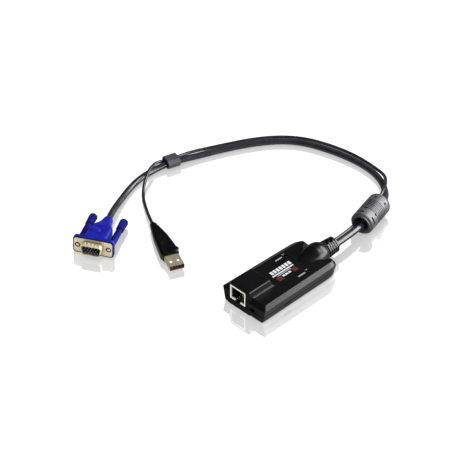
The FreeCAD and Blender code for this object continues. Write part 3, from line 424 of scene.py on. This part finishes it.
def contact_metal(name, colour, darker, reach_mm=0.0):
    """Plated contacts, pale enough to show against the dark inserts; given a reach, painted shade
    darkens them where they are closed in.
    """
    material, tree, shader = new_material(name, 0.3, Metallic=0.4)
    mottled(tree, shader, colour, darker, scale_mm=2.0)
    if reach_mm:
        painted_crevice_shade(tree, shader, reach_mm, depth=0.95)
    return material


def ink(name, colour, darker):
    """Pad-printed ink: matt, a little thin in places."""
    material, tree, shader = new_material(name, 0.6, Specular_IOR_Level=0.1)
    place = mottled(tree, shader, colour, darker, scale_mm=1.2)
    grain(tree, shader, place, size_mm=0.3, depth_mm=0.004)
    return material


def lens(name, colour, darker):
    """Clear moulded lens of an unlit lamp, smooth; its near-black colour is partly its own tint
    and partly painted shade of the hole it sits in.
    """
    material, tree, shader = new_material(name, 0.25, Transmission_Weight=0.3)
    mottled(tree, shader, colour, darker, scale_mm=1.5)
    return material


MATERIALS = {
    "black_abs": black_abs(),
    "black_rubber": black_rubber("black_rubber", roughness=0.42, gloss=0.2),
    "polished_rubber": black_rubber("polished_rubber", roughness=0.3, gloss=0.2),
    "gland_rubber": black_rubber("gland_rubber", roughness=0.3, gloss=0.6),
    "cable_jacket": cable_jacket(),
    "grey_sleeve": grey_nylon("grey_sleeve", "3a3a40", "303035", bead=False),
    "bead_sleeve": grey_nylon("bead_sleeve", "44444a", "38383d", bead=True),
    "blue_hood": blue_pvc("blue_hood", "060e8c", "040972", gloss=0.25, edge_mm=0.5,
                          painted_shade_band=HOOD_RIM_SHADE),
    "blue_heads": blue_pvc("blue_heads", "03086e", "02054c", gloss=0.1, edge_mm=0.1,
                           painted_shade_band=HEAD_STEP_SHADE),
    "nickel_shell": nickel("nickel_shell", "fff2d2", "f0dfb6", reach_mm=5.0, depth=0.93),
    "usb_nickel": nickel("usb_nickel", "b4a88e", "a4977c", reach_mm=0.5, depth=0.3),
    "steel_screw": nickel("steel_screw", "f6f3ec", "d8d2c6", reach_mm=1.2, depth=0.8),
    "tinned_steel": tinned_steel("tinned_steel"),
    "crystal_can": tinned_steel("crystal_can"),
    "gold_contact": contact_metal("gold_contact", "d8c08c", "b89c60"),
    "pin_metal": contact_metal("pin_metal", "c4cae4", "a4acd0", reach_mm=6.0),
    "dark_nylon": dense_plastic("dark_nylon", "0b0c1c", "070812", roughness=0.45),
    "chip_epoxy": dense_plastic("chip_epoxy", "1c1c1d", "141414", roughness=0.6),
    "ferrite": dense_plastic("ferrite", "2b2b2c", "1d1d1e", roughness=0.7),
    "green_laminate": dense_plastic("green_laminate", "14502c", "0e3c20", roughness=0.4),
    "white_tongue": dense_plastic("white_tongue", "fdfcf8", "f2f0ea", roughness=0.4),
    "dark_tongue": dense_plastic("dark_tongue", "161210", "0e0b09", roughness=0.5),
    "pale_ink": ink("pale_ink", "b2b2b6", "9a9aa0"),
    "grey_ink": ink("grey_ink", "8a8a8e", "76767c"),
    "red_ink": ink("red_ink", "4a1e22", "3e171b"),
    "green_lens": lens("green_lens", "0e120f", "0a0d0b"),
    "amber_lens": lens("amber_lens", "120f0b", "0d0b08"),
}

# finer finishes than the record's slots give
MATERIAL_OF = {
    "cable_gland": "gland_rubber",
    "ferrite_sleeve": "bead_sleeve",
    "left_screw_head": "blue_heads",
    "right_screw_head": "blue_heads",
    "vga_pins": "pin_metal",
    "usb_shell": "usb_nickel",
    "usb_tongue": "dark_tongue",
}


def dress_nodes():
    """Every carried-over CAD node gets the material of its slot."""
    for entry in frame["record"]["subparts"]:
        finish = MATERIAL_OF.get(entry["node"], entry["material_slot"])
        data = nodes[entry["node"]].data
        data.materials.clear()
        data.materials.append(MATERIALS[finish])


# ---------------------------------------------------------------- leads
def add_lead(name, route, diameter):
    """Smooth round lead along its route."""
    data = bpy.data.curves.new(name, "CURVE")
    data.dimensions = "3D"
    data.resolution_u = LEAD_STEPS
    data.bevel_depth = diameter / 2
    data.bevel_resolution = LEAD_ROUND
    data.use_fill_caps = True
    spline = data.splines.new("NURBS")
    spline.points.add(len(route) - 1)
    for point, (x, y, z) in zip(spline.points, route):
        point.co = (x * MM, y * MM, z * MM, 1.0)
    spline.order_u = 3
    spline.use_endpoint_u = True
    lead = bpy.data.objects.new(name, data)
    bpy.context.scene.collection.objects.link(lead)
    data.materials.append(MATERIALS["cable_jacket"])
    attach(lead, BODY)
    return lead


def add_leads():
    """The thick lead to the 15-way plug and the thin one to the USB plug."""
    vga = add_lead("vga_lead", VGA_ROUTE, VGA_CABLE_D)
    usb = add_lead("usb_lead", USB_ROUTE, USB_CABLE_D)
    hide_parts("vga_cable")
    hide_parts("usb_cable")


# ---------------------------------------------------------------- fine detail
def row_tree(name, part_kind, part_inputs, material):
    """Node tree: a straight row of one small part, with count, start, step and size inputs."""
    tree = bpy.data.node_groups.new(name, "GeometryNodeTree")
    tree.interface.new_socket("Geometry", in_out="OUTPUT", socket_type="NodeSocketGeometry")
    for label, kind in (("Count", "NodeSocketInt"), ("Start", "NodeSocketVector"),
                        ("Step", "NodeSocketVector"), ("Size", "NodeSocketVector")):
        tree.interface.new_socket(label, in_out="INPUT", socket_type=kind)
    given = add_node(tree, "NodeGroupInput")
    line = add_node(tree, "GeometryNodeMeshLine", {
        "Count": (given, "Count"), "Start Location": (given, "Start"), "Offset": (given, "Step")})
    part = add_node(tree, part_kind, part_inputs)
    spread = add_node(tree, "GeometryNodeInstanceOnPoints", {
        "Points": (line, "Mesh"), "Instance": (part, "Mesh"), "Scale": (given, "Size")})
    solid = add_node(tree, "GeometryNodeRealizeInstances", {"Geometry": (spread, "Instances")})
    finish = add_node(tree, "GeometryNodeSetMaterial", {"Geometry": (solid, "Geometry")})
    finish.inputs["Material"].default_value = material
    done = add_node(tree, "NodeGroupOutput")
    tree.links.new(finish.outputs["Geometry"], done.inputs["Geometry"])
    return tree


def make_row(name, tree, count, start, step, size, place):
    """Plain mesh of one row, put in its place; start, step and size in mm."""
    carrier = bpy.data.objects.new(name + "_carrier", bpy.data.meshes.new(name + "_carrier"))
    bpy.context.scene.collection.objects.link(carrier)
    modifier = carrier.modifiers.new("row", "NODES")
    modifier.node_group = tree
    given = {"Count": count, "Start": start, "Step": step, "Size": size}
    for item in tree.interface.items_tree:
        if item.in_out == "INPUT":
            value = given[item.name]
            modifier[item.identifier] = value if item.name == "Count" else [v * MM for v in value]
    graph = bpy.context.evaluated_depsgraph_get()
    mesh = bpy.data.meshes.new_from_object(carrier.evaluated_get(graph))
    bpy.data.objects.remove(carrier)
    mesh.transform(place)
    mesh.name = name
    row = bpy.data.objects.new(name, mesh)
    bpy.context.scene.collection.objects.link(row)
    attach(row, BODY)
    return row


def add_print():
    """Plain pale and dull red marks on the deck, and a bar and a tick beside each lamp."""
    trees = {ink_name: row_tree(ink_name + "_mark", "GeometryNodeMeshCube", {"Size": (1, 1, 1)},
                                MATERIALS[ink_name])
             for ink_name in ("pale_ink", "grey_ink", "red_ink")}
    for name, ink_name, count, start, step, size in PRINT_ROWS:
        make_row(name, trees[ink_name], count, (*start, INK_Z), (*step, 0),
                 (*size, INK_THICKNESS), Matrix.Identity(4))


def plug_place(face, yaw, pitch=0.0):
    """Place of a plug's own frame: x rearwards from its face, y left, z up."""
    return (Matrix.Translation(Vector(face) * MM) @ Matrix.Rotation(math.radians(yaw), 4, "Z")
            @ Matrix.Rotation(math.radians(pitch), 4, "Y"))


def add_relief(name, place, centre, size, material, slot):
    """Low oval swelling moulded on an overmould."""
    bm = bmesh.new()
    around, down = OVAL_SEGMENTS
    bmesh.ops.create_uvsphere(bm, u_segments=around, v_segments=down, radius=1.0)
    for vertex in bm.verts:
        vertex.co = [c + s * v for c, s, v in zip(centre, size, vertex.co)]
    bm.transform(place @ Matrix.Scale(MM, 4))
    bmesh.ops.recalc_face_normals(bm, faces=bm.faces)
    data = bpy.data.meshes.new(name)
    bm.to_mesh(data)
    bm.free()
    data.shade_smooth()
    data.materials.append(MATERIALS[material])
    relief = bpy.data.objects.new(name, data)
    bpy.context.scene.collection.objects.link(relief)
    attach(relief, BODY)


def add_reliefs():
    """Thumb swelling on the USB plug and the oval on the 15-way plug's hood."""
    add_relief("usb_thumb_swelling", plug_place(USB_MOUTH, USB_YAW), *USB_SWELLING,
               "polished_rubber", "black_rubber")
    add_relief("hood_oval", plug_place(VGA_FACE, VGA_YAW, VGA_PITCH), *HOOD_OVAL,
               "blue_hood", "blue_hood")


def add_window_glint_pads():
    """Pale pads, in the tongue's white, set just under the two windows of the USB shell so that
    the windows show bright: a painted highlight.
    """
    tree = row_tree("window_glint_pad", "GeometryNodeMeshCube", {"Size": (1, 1, 1)},
                    MATERIALS["white_tongue"])
    make_row("usb_window_glint_pads", tree, 2, (WINDOW_X, -WINDOW_Y, PAD_Z), (0, 2 * WINDOW_Y, 0),
             PAD_SIZE, plug_place(USB_MOUTH, USB_YAW))


def add_shell_dimples():
    """Row of raised dimples along the top of the 15-way plug's shell."""
    place = plug_place(VGA_FACE, VGA_YAW, VGA_PITCH)
    first = (DIMPLE_X, -DIMPLE_PITCH * (DIMPLES - 1) / 2, DIMPLE_Z)
    dimple = row_tree("dimple", "GeometryNodeMeshUVSphere", {"Segments": 16, "Rings": 8},
                      MATERIALS["nickel_shell"])
    row = make_row("shell_dimples", dimple, DIMPLES, first, (0, DIMPLE_PITCH, 0), DIMPLE_SIZE,
                   place)
    row.data.shade_smooth()


# ---------------------------------------------------------------- floor and light
def polished_table():
    """White lacquer with a clear coat: matt and glowing below, mirror on top; in reflections it
    shows bands of painted brightness, a painted reflection.
    """
    material = bpy.data.materials.new("floor")
    material.use_nodes = True
    tree = material.node_tree
    tree.nodes.remove(tree.nodes["Principled BSDF"])
    matt = add_node(tree, "ShaderNodeBsdfDiffuse", {"Color": WHITE})
    glow = add_node(tree, "ShaderNodeEmission", {"Color": WHITE, "Strength": FLOOR_GLOW})
    base = add_node(tree, "ShaderNodeMixShader", {
        "Fac": FLOOR_GLOW_SHARE, 1: (matt, 0), 2: (glow, 0)})
    gloss = add_node(tree, "ShaderNodeBsdfGlossy", {"Color": WHITE, "Roughness": FLOOR_ROUGHNESS})
    table = add_node(tree, "ShaderNodeMixShader", {
        "Fac": FLOOR_MIRROR_SHARE, 1: (base, 0), 2: (gloss, 0)})
    place = add_node(tree, "ShaderNodeTexCoord")
    parts = add_node(tree, "ShaderNodeSeparateXYZ", {"Vector": (place, "Object")})
    across = add_node(tree, "ShaderNodeMapRange", {
        "Value": (parts, "Y"), "From Min": FLOOR_BANDS_FROM * MM, "From Max": FLOOR_BANDS_TO * MM})
    bands = add_node(tree, "ShaderNodeValToRGB", {"Fac": (across, "Result")})
    stops = bands.color_ramp.elements
    while len(stops) < len(FLOOR_BANDS):
        stops.new(0.5)
    for stop, (at, level) in zip(stops, FLOOR_BANDS):
        stop.position = (at - FLOOR_BANDS_FROM) / (FLOOR_BANDS_TO - FLOOR_BANDS_FROM)
        stop.color = (level, level, level, 1.0)
    # bands of painted brightness, seen by glossy rays only: a painted reflection
    painted_reflection_bands = add_node(tree, "ShaderNodeEmission", {"Color": (bands, "Color"), "Strength": 1.0})
    path = add_node(tree, "ShaderNodeLightPath")
    seen = add_node(tree, "ShaderNodeMixShader", {
        "Fac": (path, "Is Glossy Ray"), 1: (table, 0), 2: (painted_reflection_bands, 0)})
    tree.links.new(seen.outputs[0], tree.nodes["Material Output"].inputs["Surface"])
    return material


def add_floor():
    """Polished white table that keeps soft shadows and a clear mirror image."""
    bm = bmesh.new()
    bmesh.ops.create_grid(bm, x_segments=FLOOR_CELLS, y_segments=FLOOR_CELLS, size=FLOOR_HALF,
                          matrix=Matrix.Translation((0, 0, -FLOOR_GAP)))
    data = bpy.data.meshes.new("floor")
    bm.to_mesh(data)
    bm.free()
    data.materials.append(polished_table())
    floor = bpy.data.objects.new("floor", data)
    bpy.context.scene.collection.objects.link(floor)
    return floor


def add_area(name, towards, distance, size, power):
    """Soft box that faces the adapter from a direction."""
    data = bpy.data.lights.new(name, "AREA")
    data.shape = "RECTANGLE"
    data.size, data.size_y = size
    data.energy = power
    light = bpy.data.objects.new(name, data)
    way = Vector(towards).normalized()
    light.location = Vector(LIGHT_AIM) + way * distance
    light.rotation_euler = (-way).to_track_quat("-Z", "Y").to_euler()
    bpy.context.scene.collection.objects.link(light)
    return light


def link_light(light, floor, state):
    """The light falls on the table only (INCLUDE), or on all but the table (EXCLUDE)."""
    receivers = bpy.data.collections.new(light.name + "_receivers")
    receivers.objects.link(floor)
    receivers.collection_objects[0].light_linking.link_state = state
    light.light_linking.receiver_collection = receivers


def add_mirror_card(floor):
    """Bright card that only the table reflects, so the adapter's mirror image shows in it."""
    card = add_area("mirror_card", *MIRROR_CARD)
    card.visible_diffuse = False
    link_light(card, floor, "INCLUDE")


def add_surround():
    """White all round for diffuse light, near black where glossy surfaces look up."""
    world = bpy.data.worlds.new("surround")
    world.use_nodes = True
    tree = world.node_tree
    white = tree.nodes["Background"]
    white.inputs["Color"].default_value = WHITE
    white.inputs["Strength"].default_value = SURROUND_WHITE
    dark = add_node(tree, "ShaderNodeBackground", {"Color": WHITE, "Strength": SURROUND_GLOSSY})
    path = add_node(tree, "ShaderNodeLightPath")
    mix = add_node(tree, "ShaderNodeMixShader", {
        "Fac": (path, "Is Glossy Ray"), 1: (white, 0), 2: (dark, 0)})
    tree.links.new(mix.outputs[0], tree.nodes["World Output"].inputs["Surface"])
    bpy.context.scene.world = world
    bpy.context.scene.view_settings.view_transform = "Standard"


def add_light(floor):
    """Two soft boxes on the right that leave the table alone, the card and the surround."""
    link_light(add_area("right_box", *RIGHT_BOX), floor, "EXCLUDE")
    link_light(add_area("low_box", *LOW_BOX), floor, "EXCLUDE")
    add_mirror_card(floor)
    add_surround()


add_camera()
dress_nodes()
add_leads()
add_print()
add_shell_dimples()
add_reliefs()
add_window_glint_pads()
add_light(add_floor())

bpy.context.view_layer.update()
